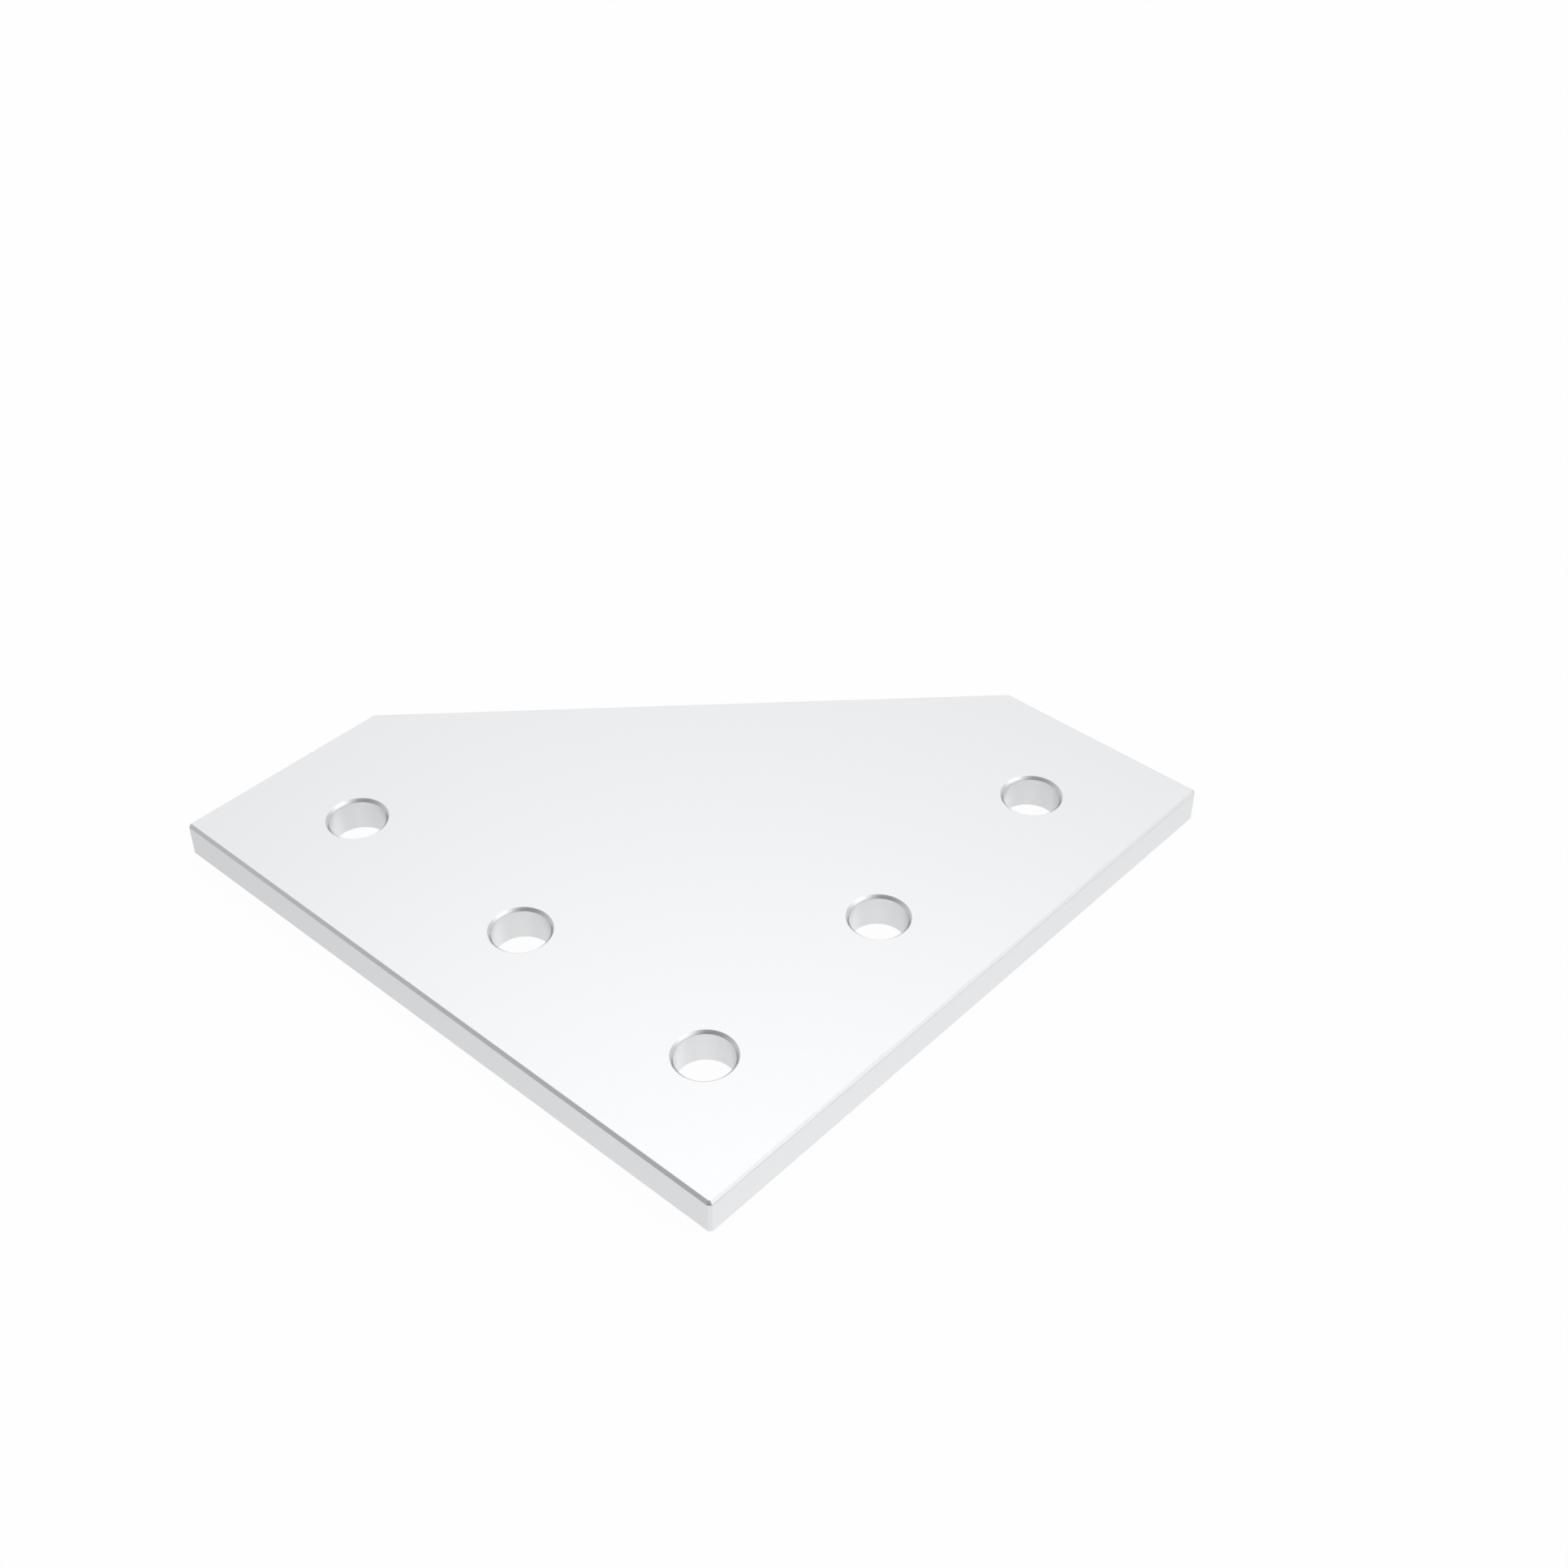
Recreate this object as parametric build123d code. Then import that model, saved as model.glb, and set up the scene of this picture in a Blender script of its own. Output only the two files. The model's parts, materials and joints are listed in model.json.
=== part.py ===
from build123d import *
from math import isclose
import os

# Five-hole 90 degree joining plate for 40 mm T-slot aluminium extrusion.
# One piece of aluminium plate. Units are millimetres.
# Origin: the axis of the corner bolt hole, on the back face, which lies on the extrusions.
# +X runs along one arm, +Y along the other, and +Z points out of the chamfered front face.

# Driving dimensions
hole_pitch = 40.0          # hole to hole along an arm, one extrusion module
holes_along_arm = 2        # bolt holes on each arm beyond the corner hole
bore_diameter = 9.5        # clearance for an M8 bolt
edge_distance = 19.9       # hole axis to the outer edges and arm ends, just inside the module
end_width = 39.9           # length of each arm's end edge, up to the slanting brace edge
plate_thickness = 6.35
upright_chamfer = 0.5      # down the three square corners
front_chamfer = 0.5        # round the outline on the front face
bore_chamfer = 0.5         # round each bore on the front face
back_edge_break = 0.25     # deburred edges on the back face, round the outline and the bores

# Derived positions
arm_end = edge_distance + holes_along_arm * hole_pitch
brace_start = end_width - edge_distance


def outline():
    """Square outer corner, two square arm ends and the slanting brace edge between them."""
    plan = Polygon(
        (-edge_distance, -edge_distance),
        (arm_end, -edge_distance),
        (arm_end, brace_start),
        (brace_start, arm_end),
        (-edge_distance, arm_end),
        align=None,
    )
    square_corners = [v for v in plan.vertices() if isclose(min(v.X, v.Y), -edge_distance)]
    return chamfer(square_corners, upright_chamfer)


def blank():
    """The plate before it is drilled, with both faces' outer edges finished."""
    plate = extrude(outline(), plate_thickness)
    plate = chamfer(plate.faces().sort_by(Axis.Z)[-1].edges(), front_chamfer)
    return chamfer(plate.faces().sort_by(Axis.Z)[0].edges(), back_edge_break)


def bore_cutter():
    """A bolt hole's whole section: back edge break, straight bore and front chamfer."""
    radius = bore_diameter / 2
    section = Polygon(
        (0, 0),
        (radius + back_edge_break, 0),
        (radius, back_edge_break),
        (radius, plate_thickness - bore_chamfer),
        (radius + bore_chamfer, plate_thickness),
        (0, plate_thickness),
        align=None,
    )
    return revolve(Plane.XZ * section, Axis.Z)


def hole_positions():
    """The corner hole first, then each arm's holes from the corner out."""
    places = [(0, 0)]
    for step in range(1, holes_along_arm + 1):
        places.append((step * hole_pitch, 0))
        places.append((0, step * hole_pitch))
    return places


def joining_plate():
    """The finished plate."""
    return blank() - [Pos(x, y) * bore_cutter() for x, y in hole_positions()]


os.makedirs("parts", exist_ok=True)
export_step(joining_plate(), "parts/joining_plate.step")
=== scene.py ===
import json
import math

import bpy
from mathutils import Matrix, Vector


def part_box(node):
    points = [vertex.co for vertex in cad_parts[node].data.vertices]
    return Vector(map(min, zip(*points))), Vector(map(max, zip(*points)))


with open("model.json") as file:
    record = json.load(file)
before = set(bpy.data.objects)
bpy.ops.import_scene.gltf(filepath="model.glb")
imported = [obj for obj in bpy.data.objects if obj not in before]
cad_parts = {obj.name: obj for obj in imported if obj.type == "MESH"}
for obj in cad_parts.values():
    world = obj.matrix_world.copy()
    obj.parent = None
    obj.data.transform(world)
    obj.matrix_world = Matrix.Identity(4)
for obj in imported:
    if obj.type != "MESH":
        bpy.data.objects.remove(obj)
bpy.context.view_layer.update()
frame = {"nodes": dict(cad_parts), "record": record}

# Looks, light and camera for a satin anodised T-slot joining plate, in metres in the CAD frame.
# The plate's shape is the CAD mesh, and all that is added to it here is a small rounding of its edges.

MM = 0.001
PLATE = "joining_plate"
WHITE = (1, 1, 1, 1)

# ---------------------------------------------------------------- measures
# Camera: a 50 mm lens above and in front of the square corner
LENS = 50.0                  # millimetres, as the sensor is
SENSOR = 36.0
CLIP_NEAR = 0.01
CLIP_FAR = 20.0
CAMERA_HEADING = 42.0        # degrees from +X towards +Y that the camera looks along
CAMERA_ELEVATION = 40.0      # degrees above the horizon
CAMERA_DISTANCE = 375.0 * MM
AIM_RIGHT = 14.7 * MM        # from the middle of the plate to the aim point: to the camera's right
AIM_AWAY = 9.7 * MM          # and away from the camera

# Edges: the small rounding that finishing leaves along every machined edge
EDGE_ROUNDING = 0.05 * MM    # how far each rounding reaches along its two faces
ROUNDING_SEGMENTS = 3
SHARP_ANGLE = 25.0           # degrees: a gentler edge isn't rounded
WELD_REACH = 0.001 * MM      # mesh points closer than this are one point

# Studio: a dim room with wide soft lamps far from the plate, as directions in the plate's frame.
# Heading, elevation and spread are in degrees, and a strength of 1 is white.
STUDIO_LAMPS = {
    # name: (heading, elevation, strength, spread)
    "key_window": (-56, 35, 0.68, 17),     # right of the camera: white on the near-right chamfer
    "key_window_near": (-88, 43, 0.64, 17),
    "far_panel": (48, 58, 0.58, 16),       # beyond the plate: the pale top face, brightest near the camera
    "far_wall": (48, 25, 0.54, 40),
    "right_wall": (-24, 10, 0.22, 25),
    "left_wall": (126, 16, 0.24, 26),
    "edge_strip": (-12, 57, 0.45, 15),     # for the rounding along the near-right chamfer's upper edge
    "ceiling": (0, 90, 0.55, 20),          # for the rims on the far side of the holes
    "table": (225, -72, 0.88, 43),         # what a pale table sends up to the sides and bores
    "table_right": (-22, -42, 0.36, 25),
    "table_left": (122, -42, 0.16, 20),
    "near_wall": (190, 0, 0.20, 15),
}
STUDIO_BASE = 0.12           # what comes from every direction besides

# Finish: satin anodised faces, slightly cool. The chamfers are cut through to a smoother metal of a
# more neutral tone. The bores are a little rougher and carry the anodised colour painted paler: painted
# light.
ANODISED = (0.852, 0.860, 0.876)
BARE = (0.861, 0.861, 0.866)
# the anodised colour painted paler for the bores: painted light that brightens them
BORE_PAINTED_LIGHT = (0.892, 0.900, 0.915)
FACE_ROUGHNESS = 0.30
CUT_ROUGHNESS = 0.24
BORE_ROUGHNESS = 0.34

# Zones of the finish, by how far a surface faces up or down: 0 on a wall, 0.7 on a chamfer, 1 on a face
WALL_TO_CHAMFER = (0.30, 0.50)
CHAMFER_TO_FACE = (0.80, 0.95)
HOLE_MARGIN = 0.9 * MM       # how wide a ring round each bore counts as part of the hole

# Marks: faint clouds, a fine grain, and the lines that cutting leaves
CLOUD_SIZE = 1.3 * MM        # patches of the etch under the anodising
CLOUD_DETAIL = 3.0
CLOUD_TONE = 0.012           # how far a patch's tone strays
CLOUD_GLOSS = 0.05           # and how far its roughness strays
GRAIN_SIZE = 0.16 * MM       # the satin grain
GRAIN_DEPTH = 0.0006 * MM
STREAK_PITCH = 0.16 * MM     # lines along a chamfer or round a bore
STREAK_LENGTH = 3.0 * MM     # and how far each one runs
STREAK_DEPTH = 0.012 * MM
BORE_STREAKS = 0.10          # share of that depth left on a reamed bore
FINE_DETAIL = 1.0            # noise detail of the grain and the streaks

# Floor: plain white
FLOOR_WHITE = 0.90
FLOOR_SIZE = 6.0
FLOOR_GAP = 0.02 * MM        # the floor stays just clear of the back face
BACKGROUND_SHARE = 0.97      # the rest of what the camera sees is the lit floor, with the plate's shadow

record = frame["record"]
plate = frame["nodes"][PLATE]
low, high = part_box(PLATE)
middle = (low + high) / 2


# ---------------------------------------------------------------- helpers
class Graph:
    """A short way to write shader nodes."""

    def __init__(self, tree):
        self.tree = tree
        tree.nodes.clear()

    def node(self, kind, inputs=(), **settings):
        made = self.tree.nodes.new(kind)
        for name, value in settings.items():
            setattr(made, name, value)
        for key, value in dict(inputs).items():
            self.feed(made.inputs[key], value)
        return made

    def feed(self, socket, value):
        if isinstance(value, bpy.types.NodeSocket):
            self.tree.links.new(value, socket)
        else:
            socket.default_value = value

    def math(self, operation, *values):
        made = self.node("ShaderNodeMath", operation=operation)
        for socket, value in zip(made.inputs, values):
            self.feed(socket, value)
        return made.outputs[0]

    def vector(self, operation, *values):
        made = self.node("ShaderNodeVectorMath", operation=operation)
        for socket, value in zip(made.inputs, values):
            self.feed(socket, value)
        return made.outputs["Value" if operation in ("DOT_PRODUCT", "DISTANCE") else "Vector"]

    def mixed_colour(self, share, first, second):
        """The first colour where the share is 0, the second where it is 1."""
        inputs = {"Factor": share, "A": first, "B": second}
        return self.node("ShaderNodeMix", inputs, data_type="RGBA").outputs["Result"]

    def mixed_shader(self, share, first, second):
        """The first shader where the share is 0, the second where it is 1."""
        inputs = {0: share, 1: first.outputs[0], 2: second.outputs[0]}
        return self.node("ShaderNodeMixShader", inputs)


def direction(heading, elevation):
    """A unit vector from its heading from +X towards +Y and its elevation, in degrees."""
    turn, rise = math.radians(heading), math.radians(elevation)
    return Vector((math.cos(turn) * math.cos(rise), math.sin(turn) * math.cos(rise), math.sin(rise)))


def ramp(graph, value, start, end):
    """0 at start, 1 at end, smooth between."""
    inputs = {0: value, 1: start, 2: end}
    return graph.node("ShaderNodeMapRange", inputs, interpolation_type="SMOOTHSTEP").outputs[0]


def noise(graph, place, size, detail):
    """Noise with blobs of about the given size in metres, or sizes along x, y and z."""
    sizes = size if isinstance(size, tuple) else (size,) * 3
    scaled = graph.vector("DIVIDE", place, sizes)
    return graph.node("ShaderNodeTexNoise", {"Vector": scaled, "Scale": 1.0, "Detail": detail}).outputs["Fac"]


def stray(graph, value, amount):
    """A noise value as a number that strays by the amount on both sides of 0."""
    return graph.math("MULTIPLY_ADD", value, 2 * amount, -amount)


# ---------------------------------------------------------------- plate
def round_edges(obj):
    """Rounds every machined edge a little, without touching the CAD mesh."""
    weld = obj.modifiers.new("weld", "WELD")
    weld.merge_threshold = WELD_REACH
    rounding = obj.modifiers.new("edge_rounding", "BEVEL")
    rounding.limit_method = "ANGLE"
    rounding.angle_limit = math.radians(SHARP_ANGLE)
    rounding.width = EDGE_ROUNDING
    rounding.segments = ROUNDING_SEGMENTS
    rounding.use_clamp_overlap = True
    normals = obj.modifiers.new("normals", "WEIGHTED_NORMAL")
    normals.keep_sharp = False


def near_holes(graph, place):
    """1 in the holes and the narrow ring round each, 0 elsewhere."""
    flat = graph.vector("MULTIPLY", place, (1.0, 1.0, 0.0))
    nearest, radius = None, 0.0
    for mount in record["mounts"]:
        if mount["kind"] == "bore":
            x, y, _ = mount["pos_m"]
            away = graph.vector("DISTANCE", flat, (x, y, 0.0))
            nearest = away if nearest is None else graph.math("MINIMUM", nearest, away)
            radius = max(radius, mount["dims"]["r_mm"] * MM)
    return graph.math("LESS_THAN", nearest, radius + HOLE_MARGIN)


def anodised_aluminium():
    """The plate's metal, with a finish of its own on the chamfers and a rougher one in the bores, where its
    colour is painted paler as painted light.
    """
    material = bpy.data.materials.new("anodised_aluminium")
    material.use_nodes = True
    graph = Graph(material.node_tree)
    place = graph.node("ShaderNodeTexCoord").outputs["Object"]
    normal = graph.node("ShaderNodeNewGeometry").outputs["Normal"]
    facing = graph.math("ABSOLUTE", graph.node("ShaderNodeSeparateXYZ", {0: normal}).outputs["Z"])

    # zones: a wall near a hole's axis is a bore, and what is neither a wall nor a face is a chamfer
    wall = graph.math("SUBTRACT", 1.0, ramp(graph, facing, *WALL_TO_CHAMFER))
    face = ramp(graph, facing, *CHAMFER_TO_FACE)
    cut = graph.math("SUBTRACT", graph.math("SUBTRACT", 1.0, wall), face)
    bore = graph.math("MULTIPLY", wall, near_holes(graph, place))

    clouds = noise(graph, place, CLOUD_SIZE, CLOUD_DETAIL)
    grain = noise(graph, place, GRAIN_SIZE, FINE_DETAIL)
    streaks = noise(graph, place, (STREAK_LENGTH, STREAK_LENGTH, STREAK_PITCH), FINE_DETAIL)

    colour = graph.mixed_colour(cut, ANODISED + (1,), BARE + (1,))
    # painted light: the bores take the anodised colour painted paler
    colour = graph.mixed_colour(bore, colour, BORE_PAINTED_LIGHT + (1,))
    tone = graph.math("ADD", 1.0, stray(graph, clouds, CLOUD_TONE))
    tinted = graph.node("ShaderNodeVectorMath", {0: colour, "Scale": tone}, operation="SCALE")

    roughness = graph.math("MULTIPLY_ADD", cut, CUT_ROUGHNESS - FACE_ROUGHNESS, FACE_ROUGHNESS)
    roughness = graph.math("MULTIPLY_ADD", bore, BORE_ROUGHNESS - FACE_ROUGHNESS, roughness)
    roughness = graph.math("ADD", roughness, stray(graph, clouds, CLOUD_GLOSS))

    lined = graph.math("MULTIPLY_ADD", bore, BORE_STREAKS, cut)
    fine = graph.node("ShaderNodeBump", {"Height": grain, "Distance": GRAIN_DEPTH, "Strength": 1.0})
    bump = graph.node("ShaderNodeBump", {
        "Height": streaks, "Distance": STREAK_DEPTH, "Strength": lined, "Normal": fine.outputs[0]})

    shader = graph.node("ShaderNodeBsdfPrincipled", {
        "Base Color": tinted.outputs["Vector"], "Metallic": 1.0,
        "Roughness": roughness, "Normal": bump.outputs[0]})
    graph.node("ShaderNodeOutputMaterial", {"Surface": shader.outputs[0]})
    return material


# ---------------------------------------------------------------- studio
def studio_light():
    """The world: wide soft lamps over a dim room, and plain white where the camera looks past the floor."""
    world = bpy.data.worlds.new("studio")
    bpy.context.scene.world = world
    world.use_nodes = True
    graph = Graph(world.node_tree)
    look = graph.node("ShaderNodeTexCoord").outputs["Generated"]
    total = STUDIO_BASE
    for heading, elevation, strength, spread in STUDIO_LAMPS.values():
        # a lamp fades from its middle as exp((cosine - 1) / spread squared)
        sharpness = 1 / math.radians(spread) ** 2
        toward = graph.vector("DOT_PRODUCT", look, tuple(direction(heading, elevation) * sharpness))
        glow = graph.math("EXPONENT", graph.math("SUBTRACT", toward, sharpness))
        total = graph.math("MULTIPLY_ADD", glow, strength, total)
    room = graph.node("ShaderNodeBackground", {"Color": WHITE, "Strength": total})
    background = graph.node("ShaderNodeBackground", {"Color": WHITE, "Strength": 1.0})
    path = graph.node("ShaderNodeLightPath")
    seen = graph.mixed_shader(path.outputs["Is Camera Ray"], room, background)
    graph.node("ShaderNodeOutputWorld", {"Surface": seen.outputs[0]})


def floor():
    """A white floor that keeps a faint shadow of the plate."""
    bpy.ops.mesh.primitive_plane_add(size=FLOOR_SIZE, location=(middle.x, middle.y, low.z - FLOOR_GAP))
    plane = bpy.context.object
    plane.name = "floor"
    material = bpy.data.materials.new("floor_white")
    material.use_nodes = True
    graph = Graph(material.node_tree)
    path = graph.node("ShaderNodeLightPath")
    matt = graph.node("ShaderNodeBsdfDiffuse", {"Color": (FLOOR_WHITE,) * 3 + (1,)})
    glow = graph.node("ShaderNodeEmission", {"Color": WHITE, "Strength": 1.0})
    share = graph.math("MULTIPLY", path.outputs["Is Camera Ray"], BACKGROUND_SHARE)
    seen = graph.mixed_shader(share, matt, glow)
    # metal shows the studio's pale lower half in place of the floor, and from below the back face shows
    under = graph.node("ShaderNodeNewGeometry").outputs["Backfacing"]
    through = graph.math("MAXIMUM", path.outputs["Is Glossy Ray"], under)
    clear = graph.node("ShaderNodeBsdfTransparent")
    surface = graph.mixed_shader(through, seen, clear)
    graph.node("ShaderNodeOutputMaterial", {"Surface": surface.outputs[0]})
    plane.data.materials.append(material)


def camera():
    """Looks down over the square corner at the aim point."""
    data = bpy.data.cameras.new("camera")
    data.lens = LENS
    data.sensor_width = SENSOR
    data.clip_start = CLIP_NEAR
    data.clip_end = CLIP_FAR
    viewer = bpy.data.objects.new("camera", data)
    bpy.context.scene.collection.objects.link(viewer)
    away = direction(CAMERA_HEADING, 0)
    right = direction(CAMERA_HEADING - 90, 0)
    aim = middle + right * AIM_RIGHT + away * AIM_AWAY
    back = direction(CAMERA_HEADING + 180, CAMERA_ELEVATION)
    viewer.location = aim + back * CAMERA_DISTANCE
    viewer.rotation_mode = "QUATERNION"
    viewer.rotation_quaternion = (-back).to_track_quat("-Z", "Y")
    bpy.context.scene.camera = viewer


camera()
round_edges(plate)
plate.material_slots[0].material = anodised_aluminium()
studio_light()
floor()
bpy.context.scene.view_settings.view_transform = "Standard"
